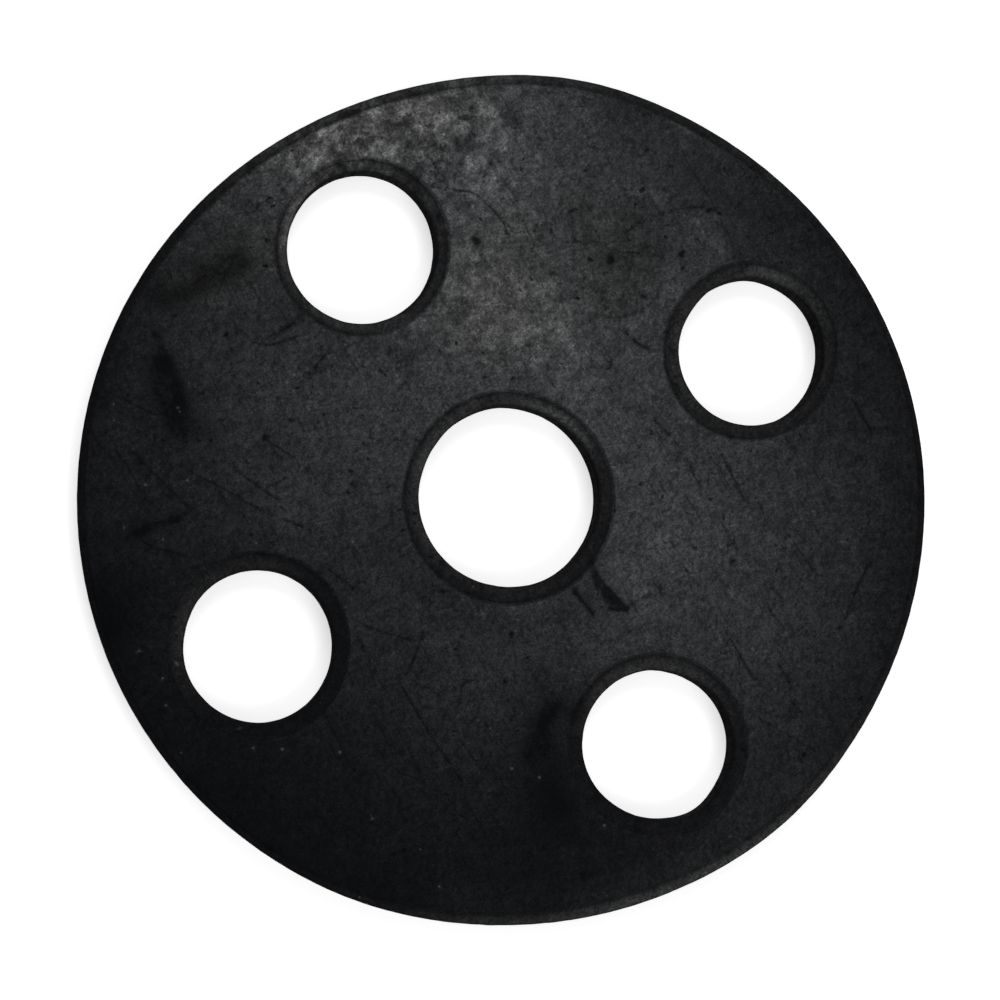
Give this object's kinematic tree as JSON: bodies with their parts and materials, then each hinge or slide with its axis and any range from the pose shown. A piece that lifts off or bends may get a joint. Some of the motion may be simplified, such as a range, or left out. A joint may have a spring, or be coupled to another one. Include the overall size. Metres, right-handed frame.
{
  "type": "rubber flange gasket",
  "caption": "Flat black rubber full-face flange gasket: a round die-cut sheet with a centre bore and round bolt holes on a circle, a shallow die mark round each cut edge.",
  "frame": {"origin": "where the bore's axis meets the back face, the face the gasket lies on", "axes": "+Z along the bore's axis, from the plain back face to the front face that has the die marks; +X and +Y halfway between neighbouring bolt holes, so that the holes stand at 45 degrees and its quarter turns"},
  "size_m": [0.0888, 0.0888, 0.0032],
  "materials": {
    "black_rubber": "matte, faintly mottled, with a thin grey haze, rub marks and light handling scratches"
  },
  "bodies": {
    "root": {"flange_gasket": "black_rubber"}
  },
  "joints": []
}
